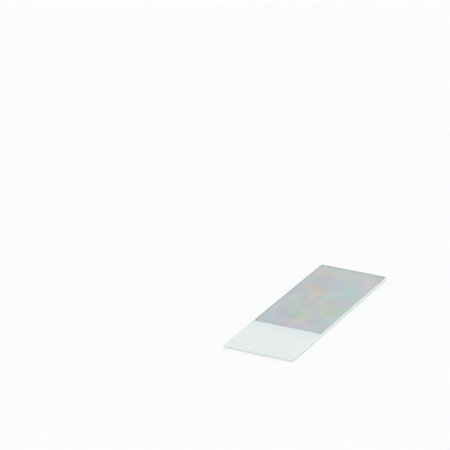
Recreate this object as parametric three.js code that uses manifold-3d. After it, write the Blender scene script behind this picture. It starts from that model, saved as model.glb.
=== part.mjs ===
// A microscope slide: one rectangle of float glass that lies flat. Its edges and corners are ground,
// and one end of its upper face is frosted, so that it can be written on.
//
// Millimetres. X runs along the slide from the frosted end to the clear end, Y across it, and Z up
// through its thickness. The origin is the centre of the lower face.

import * as THREE from 'three';
import { mergeVertices } from 'three/addons/utils/BufferGeometryUtils.js';
import Module from 'manifold-3d';

// Plate
const slideLength = 75;
const slideWidth = 25;
const slideThickness = 1;

// Grinding: a bevel all round the upper and the lower face, and a radius at each upright corner
const bevelReach = 0.25; // in over the face
const bevelDepth = 0.25; // down the edge
const cornerRadius = 0.8;
const cornerSegments = 6;

// Frosting: a shallow layer etched away from the upper face, right across one end
const frostedLength = 21.5;
const frostDepth = 0.02;

// How far a cutting solid reaches past the faces that it cuts
const overcut = 1;

const wasm = await Module();
wasm.setup();

/** Turns a closed three.js geometry into a solid that can be cut. */
function toSolid(geometry) {
  const bare = geometry.clone();
  bare.deleteAttribute('normal');
  bare.deleteAttribute('uv');
  const welded = mergeVertices(bare);
  const vertProperties = new Float32Array(welded.attributes.position.array);
  const triVerts = new Uint32Array(welded.index.array);
  return new wasm.Manifold(new wasm.Mesh({ numProp: 3, vertProperties, triVerts }));
}

/** Turns a solid back into a three.js geometry with flat faces. */
function toGeometry(solid) {
  const { vertProperties, triVerts } = solid.getMesh();
  const indexed = new THREE.BufferGeometry();
  indexed.setAttribute('position', new THREE.BufferAttribute(vertProperties, 3));
  indexed.setIndex(new THREE.BufferAttribute(triVerts, 1));
  const faceted = indexed.toNonIndexed();
  faceted.computeVertexNormals();
  return faceted;
}

/** The slide's outline from above: a rectangle whose corners have a small radius. */
function slideOutline() {
  const right = slideLength / 2 - cornerRadius;
  const top = slideWidth / 2 - cornerRadius;
  const outline = new THREE.Shape();
  outline.absarc(right, top, cornerRadius, 0, Math.PI / 2);
  outline.absarc(-right, top, cornerRadius, Math.PI / 2, Math.PI);
  outline.absarc(-right, -top, cornerRadius, Math.PI, 1.5 * Math.PI);
  outline.absarc(right, -top, cornerRadius, 1.5 * Math.PI, 2 * Math.PI);
  return outline;
}

/** The glass plate with its ground edges, its lower face on the XY plane. */
function groundPlate() {
  const plate = new THREE.ExtrudeGeometry(slideOutline(), {
    depth: slideThickness - 2 * bevelDepth,
    bevelThickness: bevelDepth,
    bevelSize: bevelReach,
    bevelOffset: -bevelReach,
    bevelSegments: 1,
    curveSegments: cornerSegments,
  });
  plate.translate(0, 0, bevelDepth);
  return toSolid(plate);
}

/** What the etching takes away: a box over the frosted end, down to the frosted face. */
function frostCut() {
  const cutLength = frostedLength + overcut;
  const cutWidth = slideWidth + 2 * overcut;
  const cutHeight = frostDepth + overcut;
  const box = new THREE.BoxGeometry(cutLength, cutWidth, cutHeight);
  const centreX = -slideLength / 2 + frostedLength - cutLength / 2;
  const centreZ = slideThickness - frostDepth + cutHeight / 2;
  box.translate(centreX, 0, centreZ);
  return toSolid(box);
}

const glass = new THREE.MeshStandardMaterial({ color: 0xdcebe6, roughness: 0.12, metalness: 0 });
const slide = new THREE.Mesh(toGeometry(groundPlate().subtract(frostCut())), glass);
slide.name = 'glass_slide';

const group = new THREE.Group();
group.add(slide);

export default group;
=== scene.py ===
"""A microscope slide of float glass, lying on a pale floor under soft studio light.

The slide is one plate of glass with three finishes: polished faces, ground edges and corners, and a
frosted patch at one end of its upper face. Everything is in metres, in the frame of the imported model:
X runs from the frosted end to the clear end, Y across the slide, and Z up through its thickness.
"""

import logging
import math
from dataclasses import dataclass
from enum import IntEnum

import bmesh
import bpy
from mathutils import Matrix, Vector

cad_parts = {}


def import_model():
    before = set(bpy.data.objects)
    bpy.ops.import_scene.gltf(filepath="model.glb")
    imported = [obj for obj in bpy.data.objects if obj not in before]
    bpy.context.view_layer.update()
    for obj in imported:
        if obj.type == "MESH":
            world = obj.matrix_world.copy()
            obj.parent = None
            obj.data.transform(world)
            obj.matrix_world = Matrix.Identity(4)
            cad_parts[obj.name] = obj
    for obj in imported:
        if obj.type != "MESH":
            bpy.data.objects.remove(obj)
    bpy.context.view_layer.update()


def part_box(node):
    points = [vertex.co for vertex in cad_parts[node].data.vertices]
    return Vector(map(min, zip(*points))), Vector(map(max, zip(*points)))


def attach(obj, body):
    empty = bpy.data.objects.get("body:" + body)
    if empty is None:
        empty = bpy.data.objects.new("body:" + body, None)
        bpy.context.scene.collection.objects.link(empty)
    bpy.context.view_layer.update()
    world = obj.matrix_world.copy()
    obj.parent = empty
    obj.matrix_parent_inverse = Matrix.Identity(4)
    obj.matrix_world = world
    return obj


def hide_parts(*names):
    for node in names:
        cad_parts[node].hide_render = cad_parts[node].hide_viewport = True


LOG = logging.getLogger("microscope_slide")

MM = 0.001
GLASS_IOR = 1.52
SLIDE_NODE = "glass_slide"

Triple = tuple[float, float, float]
Colour = Triple
Shade = Colour | bpy.types.NodeSocket


class Finish(IntEnum):
    """The finish of a face, which is also its material slot on the plate."""

    POLISHED = 0
    FROSTED = 1
    GROUND = 2


# --- Node helpers ------------------------------------------------------------------------------------


class NodeSheet:
    """A material's node tree, with short calls to add and join its nodes."""

    def __init__(self, name: str) -> None:
        """Starts a material that holds only its output.

        Args:
            name: The material's name.
        """
        self.material = bpy.data.materials.new(name)
        self.material.use_nodes = True
        self.tree = self.material.node_tree
        self.tree.nodes.clear()
        self.output = self.add("ShaderNodeOutputMaterial")

    def add(self, kind: str, **settings: object) -> bpy.types.Node:
        """Adds one node.

        Args:
            kind: The node's type name.
            **settings: Properties of the node to set.

        Returns:
            The new node.
        """
        node = self.tree.nodes.new(kind)
        for name, value in settings.items():
            setattr(node, name, value)
        return node

    def join(self, source: bpy.types.NodeSocket, target: bpy.types.NodeSocket) -> None:
        """Joins an output socket to an input socket."""
        self.tree.links.new(source, target)

    def object_point(self, scale: Triple = (1.0, 1.0, 1.0), turn: float = 0.0) -> bpy.types.NodeSocket:
        """Object coordinates, turned about Z and then stretched along each axis.

        Args:
            scale: How many pattern units one metre holds along X, Y and Z.
            turn: Degrees from X towards Y of the direction that becomes the pattern's X.

        Returns:
            The socket of the scaled coordinates.
        """
        coordinates = self.add("ShaderNodeTexCoord")
        mapping = self.add("ShaderNodeMapping", vector_type="TEXTURE")
        mapping.inputs["Rotation"].default_value = (0.0, 0.0, math.radians(turn))
        mapping.inputs["Scale"].default_value = tuple(1.0 / share for share in scale)
        self.join(coordinates.outputs["Object"], mapping.inputs["Vector"])
        return mapping.outputs["Vector"]

    def along_x(self) -> bpy.types.NodeSocket:
        """The distance along the slide, as the X of Object coordinates."""
        split = self.add("ShaderNodeSeparateXYZ")
        self.join(self.object_point(), split.inputs["Vector"])
        return split.outputs["X"]

    def noise(self, point: bpy.types.NodeSocket, scale: float = 1.0,
              detail: float = 1.0) -> bpy.types.NodeSocket:
        """A noise value from 0 to 1.

        Args:
            point: The coordinates to read.
            scale: How fine the noise is.
            detail: How many finer layers it adds.

        Returns:
            The socket of the value.
        """
        return self._noise(point, scale, detail).outputs["Fac"]

    def hues(self, point: bpy.types.NodeSocket, gain: float) -> bpy.types.NodeSocket:
        """Soft patches of every hue, whose red, green and blue vary on their own.

        Args:
            point: The coordinates to read.
            gain: How strongly the patches differ from grey.

        Returns:
            The socket of the colour, which centres on mid grey.
        """
        node = self.add("ShaderNodeVectorMath", operation="MULTIPLY_ADD")
        node.inputs[1].default_value = (gain,) * 3
        node.inputs[2].default_value = (0.5 - gain / 2,) * 3
        self.join(self._noise(point).outputs["Color"], node.inputs[0])
        return node.outputs["Vector"]

    def _noise(self, point: bpy.types.NodeSocket, scale: float = 1.0,
               detail: float = 1.0) -> bpy.types.Node:
        """Adds a noise node."""
        node = self.add("ShaderNodeTexNoise")
        node.inputs["Scale"].default_value = scale
        node.inputs["Detail"].default_value = detail
        self.join(point, node.inputs["Vector"])
        return node

    def ramp(self, value: bpy.types.NodeSocket, low: float, high: float) -> bpy.types.NodeSocket:
        """Stretches a range of values smoothly over 0 to 1, and holds it beyond both ends.

        Args:
            value: The value to map.
            low: What becomes 0.
            high: What becomes 1.

        Returns:
            The socket of the mapped value.
        """
        return self._map(value, "SMOOTHSTEP", low, high, 0.0, 1.0)

    def spread(self, noise: bpy.types.NodeSocket, reach: float) -> bpy.types.NodeSocket:
        """Stretches a noise smoothly about its middle, so that it fills 0 to 1.

        Args:
            noise: The noise value.
            reach: How far from the middle the noise becomes 0 or 1.

        Returns:
            The socket of the stretched noise.
        """
        return self.ramp(noise, 0.5 - reach, 0.5 + reach)

    def scale(self, value: bpy.types.NodeSocket, low: float, high: float) -> bpy.types.NodeSocket:
        """Stretches values from 0 to 1 evenly over another range.

        Args:
            value: The value to map.
            low: What 0 becomes.
            high: What 1 becomes.

        Returns:
            The socket of the mapped value.
        """
        return self._map(value, "LINEAR", 0.0, 1.0, low, high)

    def _map(self, value: bpy.types.NodeSocket, way: str, *limits: float) -> bpy.types.NodeSocket:
        """Adds a Map Range node with the limits from, from, to, to."""
        node = self.add("ShaderNodeMapRange", interpolation_type=way)
        for name, number in zip(("From Min", "From Max", "To Min", "To Max"), limits):
            node.inputs[name].default_value = number
        self.join(value, node.inputs["Value"])
        return node.outputs["Result"]

    def blend_each(self, fac: bpy.types.NodeSocket, first: Colour, second: Colour) -> bpy.types.NodeSocket:
        """Blends two colours, each channel by its own share.

        Args:
            fac: How much of the second colour's red, green and blue show.
            first: The colour at 0.
            second: The colour at 1.

        Returns:
            The socket of the blended colour.
        """
        node = self.add("ShaderNodeMix", data_type="VECTOR", factor_mode="NON_UNIFORM")
        places = {socket.identifier: socket for socket in node.inputs}
        places["A_Vector"].default_value = first
        places["B_Vector"].default_value = second
        self.join(fac, places["Factor_Vector"])
        return next(socket for socket in node.outputs if socket.type == "VECTOR")

    def blend(self, fac: bpy.types.NodeSocket, first: Shade, second: Shade) -> bpy.types.NodeSocket:
        """Blends two colours.

        Args:
            fac: How much of the second colour shows.
            first: The colour at 0, or its socket.
            second: The colour at 1, or its socket.

        Returns:
            The socket of the blended colour.
        """
        node = self.add("ShaderNodeMix", data_type="RGBA")
        targets = [socket for socket in node.inputs if socket.type == "RGBA"]
        for target, shade in zip(targets, (first, second)):
            if isinstance(shade, bpy.types.NodeSocket):
                self.join(shade, target)
            else:
                target.default_value = (*shade, 1.0)
        self.join(fac, node.inputs["Factor"])
        return next(socket for socket in node.outputs if socket.type == "RGBA")

    def bump(self, height: bpy.types.NodeSocket, depth: float) -> bpy.types.NodeSocket:
        """A normal that is roughened by a height.

        Args:
            height: The height, from 0 to 1.
            depth: What a height of 1 is worth, in metres.

        Returns:
            The socket of the normal.
        """
        node = self.add("ShaderNodeBump")
        node.inputs["Distance"].default_value = depth
        self.join(height, node.inputs["Height"])
        return node.outputs["Normal"]

    def shader(self, **values: object) -> bpy.types.Node:
        """Adds the Principled shader and joins it to the output.

        Args:
            **values: Input values, named as the sockets are, with _ for a space.

        Returns:
            The shader node.
        """
        node = self.add("ShaderNodeBsdfPrincipled")
        for name, value in values.items():
            node.inputs[name.replace("_", " ")].default_value = value
        self.join(node.outputs["BSDF"], self.output.inputs["Surface"])
        return node


# --- Finishes ----------------------------------------------------------------------------------------


@dataclass(frozen=True)
class PolishedGlass:
    """The fire-polished faces: clear, with a trace of green, a thin film's sheen, and a pastel sheen painted
    into the base colour in soft patches.
    """

    film_ior: float = 1.33
    film_thinnest: float = 350.0
    film_thickest: float = 900.0
    film_reach: float = 0.25
    sheen_turn: float = 27.0
    film_stretch: Triple = (28.0, 38.0, 1.0)
    # The patch fields and the two tints make a painted sheen: pastel interference colours painted into the
    # base colour over the glass's green.
    painted_sheen_stretch: Triple = (90.0, 120.0, 1.0)
    painted_sheen_gain: float = 4.0
    deep_tint: Colour = (0.868, 0.915, 0.908)
    pale_tint: Colour = (0.952, 0.99, 1.0)

    def material(self) -> bpy.types.Material:
        """Builds the material."""
        sheet = NodeSheet("polished_glass")
        shader = sheet.shader(Roughness=0.0, IOR=GLASS_IOR, Transmission_Weight=1.0,
                              Thin_Film_IOR=self.film_ior)
        bands = sheet.noise(sheet.object_point(self.film_stretch, self.sheen_turn))
        thickness = sheet.scale(sheet.spread(bands, self.film_reach), self.film_thinnest, self.film_thickest)
        sheet.join(thickness, shader.inputs["Thin Film Thickness"])
        # Painted sheen: pastel patches of hue painted into the base colour, between the two tints.
        patches = sheet.hues(sheet.object_point(self.painted_sheen_stretch, self.sheen_turn), self.painted_sheen_gain)
        sheet.join(sheet.blend_each(patches, self.deep_tint, self.pale_tint), shader.inputs["Base Color"])
        return sheet.material


@dataclass(frozen=True)
class FrostedGlass:
    """The etched patch: near-white, matt and slightly see-through, with a fine grain.

    Towards its line its colour turns greener and darker.
    """

    line: float
    fade: float = 10.0 * MM
    tint: Colour = (0.925, 0.97, 0.973)
    pale_tint: Colour = (0.95, 0.99, 0.993)
    line_tint: Colour = (0.72, 0.90, 0.855)
    transmission: float = 0.25
    roughness: float = 0.55
    mottle_scale: float = 1400.0
    mottle_reach: float = 0.2
    grain_scale: float = 4200.0
    grain_depth: float = 0.012 * MM
    detail: float = 4.0

    def material(self) -> bpy.types.Material:
        """Builds the material."""
        sheet = NodeSheet("frosted_glass")
        shader = sheet.shader(Roughness=self.roughness, IOR=GLASS_IOR, Transmission_Weight=self.transmission)
        point = sheet.object_point()
        mottle = sheet.spread(sheet.noise(point, self.mottle_scale, self.detail), self.mottle_reach)
        etched = sheet.blend(mottle, self.tint, self.pale_tint)
        nearness = sheet.ramp(sheet.along_x(), self.line - self.fade, self.line + self.fade)
        sheet.join(sheet.blend(nearness, etched, self.line_tint), shader.inputs["Base Color"])
        grain = sheet.noise(point, self.grain_scale, self.detail)
        sheet.join(sheet.bump(grain, self.grain_depth), shader.inputs["Normal"])
        return sheet.material


@dataclass(frozen=True)
class GroundGlass:
    """The ground edges and bevels: matt and pale green, with fine lines along the grinding."""

    tint: Colour = (0.80, 0.915, 0.89)
    pale_tint: Colour = (0.88, 0.965, 0.95)
    transmission: float = 0.2
    roughness: float = 0.42
    line_stretch: Triple = (400.0, 400.0, 14000.0)
    line_detail: float = 3.0
    line_reach: float = 0.2
    line_depth: float = 0.010 * MM

    def material(self) -> bpy.types.Material:
        """Builds the material."""
        sheet = NodeSheet("ground_glass")
        shader = sheet.shader(Roughness=self.roughness, IOR=GLASS_IOR, Transmission_Weight=self.transmission)
        noise = sheet.noise(sheet.object_point(self.line_stretch), detail=self.line_detail)
        lines = sheet.spread(noise, self.line_reach)
        sheet.join(sheet.blend(lines, self.tint, self.pale_tint), shader.inputs["Base Color"])
        sheet.join(sheet.bump(lines, self.line_depth), shader.inputs["Normal"])
        return sheet.material


# --- The slide ---------------------------------------------------------------------------------------


@dataclass
class SlidePlate:
    """The glass plate: its sizes, its mesh and the finish of each of its faces."""

    low: Vector
    high: Vector
    corner_radius: float = 0.8 * MM
    corner_segments: int = 12
    bevel: float = 0.25 * MM
    arris: float = 0.03 * MM
    arris_segments: int = 2
    frosted_length: float = 21.5 * MM
    frost_depth: float = 0.02 * MM
    frost_ramp: float = 0.06 * MM
    least_level: float = 0.9
    normal_weight: int = 100
    tolerance: float = 0.001 * MM
    skew: Triple = (1.0, math.sqrt(2.0), math.sqrt(3.0))

    def build(self) -> bpy.types.Object:
        """Makes the finished plate.

        Returns:
            The plate's object, with its materials.
        """
        plate = bmesh.new()
        self._block(plate)
        self._round_corners(plate)
        self._bevel_rims(plate)
        self._soften_arrises(plate)
        self._etch_frosted_end(plate)
        self._assign_finishes(plate)
        self._settle_order(plate)
        mesh = bpy.data.meshes.new("slide_plate")
        plate.to_mesh(mesh)
        plate.free()
        return self._dress(mesh)

    def _block(self, plate: bmesh.types.BMesh) -> None:
        """Adds the sharp-edged block that the plate is ground from."""
        size = self.high - self.low
        centre = (self.high + self.low) / 2
        place = Matrix.Translation(centre) @ Matrix.Diagonal((*size, 1.0))
        bmesh.ops.create_cube(plate, size=1.0, matrix=place)

    def _round_corners(self, plate: bmesh.types.BMesh) -> None:
        """Rounds the four upright corners."""
        upright = [edge for edge in plate.edges if self._is_upright(edge)]
        self._bevel(plate, upright, self.corner_radius, self.corner_segments)

    def _bevel_rims(self, plate: bmesh.types.BMesh) -> None:
        """Grinds the bevel round the upper and the lower face."""
        rims = [edge for edge in plate.edges if not self._is_upright(edge)]
        self._bevel(plate, rims, self.bevel, 1)

    def _soften_arrises(self, plate: bmesh.types.BMesh) -> None:
        """Takes the sharpness off the lines where the bevels meet the faces and the sides."""
        arrises = [edge for edge in plate.edges if self._is_level(edge)]
        self._bevel(plate, arrises, self.arris, self.arris_segments)

    def _etch_frosted_end(self, plate: bmesh.types.BMesh) -> None:
        """Lowers the frosted end of the upper face, down a short ramp."""
        for x in (self._line(), self._line() - self.frost_ramp):
            everything = [*plate.verts, *plate.edges, *plate.faces]
            bmesh.ops.bisect_plane(plate, geom=everything, dist=self.tolerance / 10,
                                   plane_co=(x, 0.0, 0.0), plane_no=(1.0, 0.0, 0.0))
        reach = self._line() - self.frost_ramp + self.tolerance
        etched = [v for v in plate.verts if v.co.x < reach and v.co.z > self.high.z - self.tolerance]
        bmesh.ops.translate(plate, verts=etched, vec=(0.0, 0.0, -self.frost_depth))

    def _assign_finishes(self, plate: bmesh.types.BMesh) -> None:
        """Gives each face its finish from where it faces and lies."""
        plate.normal_update()
        for face in plate.faces:
            face.smooth = True
            if abs(face.normal.z) < self.least_level:
                face.material_index = Finish.GROUND
            elif face.normal.z > 0 and face.calc_center_median().x < self._line():
                face.material_index = Finish.FROSTED
            else:
                face.material_index = Finish.POLISHED

    def _settle_order(self, plate: bmesh.types.BMesh) -> None:
        """Puts the plate's elements in order of place, because a bevel leaves them in any order."""
        plate.verts.sort(key=lambda vert: self._rank(vert.co))
        plate.edges.sort(key=lambda edge: self._rank((edge.verts[0].co + edge.verts[1].co) / 2))
        plate.faces.sort(key=lambda face: self._rank(face.calc_center_median()))

    def _dress(self, mesh: bpy.types.Mesh) -> bpy.types.Object:
        """Makes the plate's object, with its finishes and its face-weighted normals."""
        for finish in (PolishedGlass(), FrostedGlass(self._line()), GroundGlass()):
            mesh.materials.append(finish.material())
        piece = bpy.data.objects.new("slide_plate", mesh)
        bpy.context.collection.objects.link(piece)
        normals = piece.modifiers.new("face_weighted_normals", "WEIGHTED_NORMAL")
        normals.weight = self.normal_weight
        return piece

    def _bevel(self, plate: bmesh.types.BMesh, edges: list[bmesh.types.BMEdge], offset: float,
               segments: int) -> None:
        """Bevels the given edges."""
        bmesh.ops.bevel(plate, geom=edges, offset=offset, offset_type="OFFSET", segments=segments,
                        profile=0.5, affect="EDGES", material=-1)

    def _rank(self, point: Vector) -> float:
        """How far a point lies along an axis that is skewed, so that places on the plate don't tie."""
        return point.dot(Vector(self.skew))

    def _line(self) -> float:
        """The X at which the frosted patch ends."""
        return self.low.x + self.frosted_length

    def _is_upright(self, edge: bmesh.types.BMEdge) -> bool:
        """Whether an edge runs straight up."""
        first, second = (vert.co for vert in edge.verts)
        return (first.xy - second.xy).length < self.tolerance

    def _is_level(self, edge: bmesh.types.BMEdge) -> bool:
        """Whether an edge lies level all along."""
        first, second = (vert.co for vert in edge.verts)
        return abs(first.z - second.z) < self.tolerance


# --- The studio --------------------------------------------------------------------------------------


@dataclass(frozen=True)
class SoftLamp:
    """A far, broad lamp, whose light is even all over the floor.

    Its floor share is how bright it alone makes a white floor, where 1 is full white.
    """

    name: str
    azimuth: float
    elevation: float
    spread: float
    floor_share: float

    def build(self, aim: Vector) -> bpy.types.Object:
        """Makes the lamp.

        Args:
            aim: The point that it lights.

        Returns:
            The lamp's object.
        """
        lamp = bpy.data.lights.new(self.name, "SUN")
        lamp.angle = math.radians(self.spread)
        lamp.energy = math.pi * self.floor_share / math.sin(math.radians(self.elevation))
        piece = bpy.data.objects.new(self.name, lamp)
        piece.location = aim + direction(self.azimuth, self.elevation)
        piece.rotation_euler = (aim - piece.location).to_track_quat("-Z", "Y").to_euler()
        bpy.context.collection.objects.link(piece)
        return piece


@dataclass(frozen=True)
class Studio:
    """The pale floor, the soft lamps and the surrounding light.

    The room's light changes from the horizon's to the room's between two heights on a unit sphere.
    """

    floor_colour: Colour = (0.905, 0.905, 0.905)
    floor_side: float = 12.0
    air_gap: float = 0.02 * MM
    room_colour: Colour = (0.30, 0.30, 0.305)
    horizon_colour: Colour = (0.968, 0.968, 0.972)
    horizon_top: float = 0.10
    room_start: float = 0.93
    lamps: tuple[SoftLamp, ...] = (
        SoftLamp("overhead_lamp", azimuth=0.0, elevation=80.0, spread=70.0, floor_share=0.31),
        SoftLamp("right_lamp", azimuth=-28.0, elevation=32.0, spread=36.0, floor_share=0.09),
        SoftLamp("front_lamp", azimuth=-170.0, elevation=38.0, spread=50.0, floor_share=0.175),
    )

    def build(self, aim: Vector) -> None:
        """Makes the studio.

        Args:
            aim: The middle of the slide's lower face.
        """
        self._floor(aim.z)
        self._room()
        for lamp in self.lamps:
            lamp.build(aim)

    def _floor(self, slide_bottom: float) -> None:
        """Lays the floor just under the slide."""
        floor = bmesh.new()
        height = Matrix.Translation((0.0, 0.0, slide_bottom - self.air_gap))
        bmesh.ops.create_grid(floor, x_segments=1, y_segments=1, size=self.floor_side / 2, matrix=height)
        mesh = bpy.data.meshes.new("floor")
        floor.to_mesh(mesh)
        floor.free()
        sheet = NodeSheet("pale_floor")
        sheet.shader(Base_Color=(*self.floor_colour, 1.0), Roughness=1.0, Specular_IOR_Level=0.0)
        mesh.materials.append(sheet.material)
        piece = bpy.data.objects.new("floor", mesh)
        bpy.context.collection.objects.link(piece)

    def _room(self) -> None:
        """Lights the room: pale at the horizon, as the floor is, and greyer above."""
        world = bpy.data.worlds.new("room")
        world.use_nodes = True
        tree = world.node_tree
        background = tree.nodes["Background"]
        coordinates = tree.nodes.new("ShaderNodeTexCoord")
        split = tree.nodes.new("ShaderNodeSeparateXYZ")
        rise = tree.nodes.new("ShaderNodeMapRange")
        rise.interpolation_type = "SMOOTHSTEP"
        rise.inputs["From Min"].default_value = self.horizon_top
        rise.inputs["From Max"].default_value = self.room_start
        blend = tree.nodes.new("ShaderNodeMix")
        blend.data_type = "RGBA"
        colours = [socket for socket in blend.inputs if socket.type == "RGBA"]
        colours[0].default_value = (*self.horizon_colour, 1.0)
        colours[1].default_value = (*self.room_colour, 1.0)
        tree.links.new(coordinates.outputs["Generated"], split.inputs["Vector"])
        tree.links.new(split.outputs["Z"], rise.inputs["Value"])
        tree.links.new(rise.outputs["Result"], blend.inputs["Factor"])
        mixed = next(socket for socket in blend.outputs if socket.type == "RGBA")
        tree.links.new(mixed, background.inputs["Color"])
        bpy.context.scene.world = world


@dataclass(frozen=True)
class ViewCamera:
    """A long-lens camera that looks past the slide, over its frosted end."""

    azimuth: float = -153.14
    elevation: float = 22.02
    distance: float = 0.937
    lens: float = 208.0
    aim_x: float = 54.7 * MM
    aim_y: float = 58.7 * MM

    def build(self, slide_top: float) -> None:
        """Makes the camera and sets it as the scene's.

        Args:
            slide_top: The height of the slide's upper face.
        """
        data = bpy.data.cameras.new("view_camera")
        data.lens = self.lens
        camera = bpy.data.objects.new("view_camera", data)
        aim = Vector((self.aim_x, self.aim_y, slide_top))
        camera.location = aim + direction(self.azimuth, self.elevation) * self.distance
        camera.rotation_euler = (aim - camera.location).to_track_quat("-Z", "Y").to_euler()
        bpy.context.collection.objects.link(camera)
        bpy.context.scene.camera = camera


def direction(azimuth: float, elevation: float) -> Vector:
    """The unit vector towards a bearing.

    Args:
        azimuth: Degrees from +X towards +Y.
        elevation: Degrees above the floor.

    Returns:
        The vector.
    """
    a, e = math.radians(azimuth), math.radians(elevation)
    return Vector((math.cos(a) * math.cos(e), math.sin(a) * math.cos(e), math.sin(e)))


def main() -> None:
    """Builds the slide, the studio and the camera."""
    logging.basicConfig(level=logging.INFO, format="%(name)s: %(message)s")
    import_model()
    low, high = (Vector(corner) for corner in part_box(SLIDE_NODE))

    plate = SlidePlate(low, high).build()
    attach(plate, "root")
    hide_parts(SLIDE_NODE)
    LOG.info("%s: %d faces", plate.name, len(plate.data.polygons))

    middle = (low + high) / 2
    Studio().build(Vector((middle.x, middle.y, low.z)))
    ViewCamera().build(high.z)
    bpy.context.scene.view_settings.view_transform = "Standard"


if __name__ == "__main__":
    main()
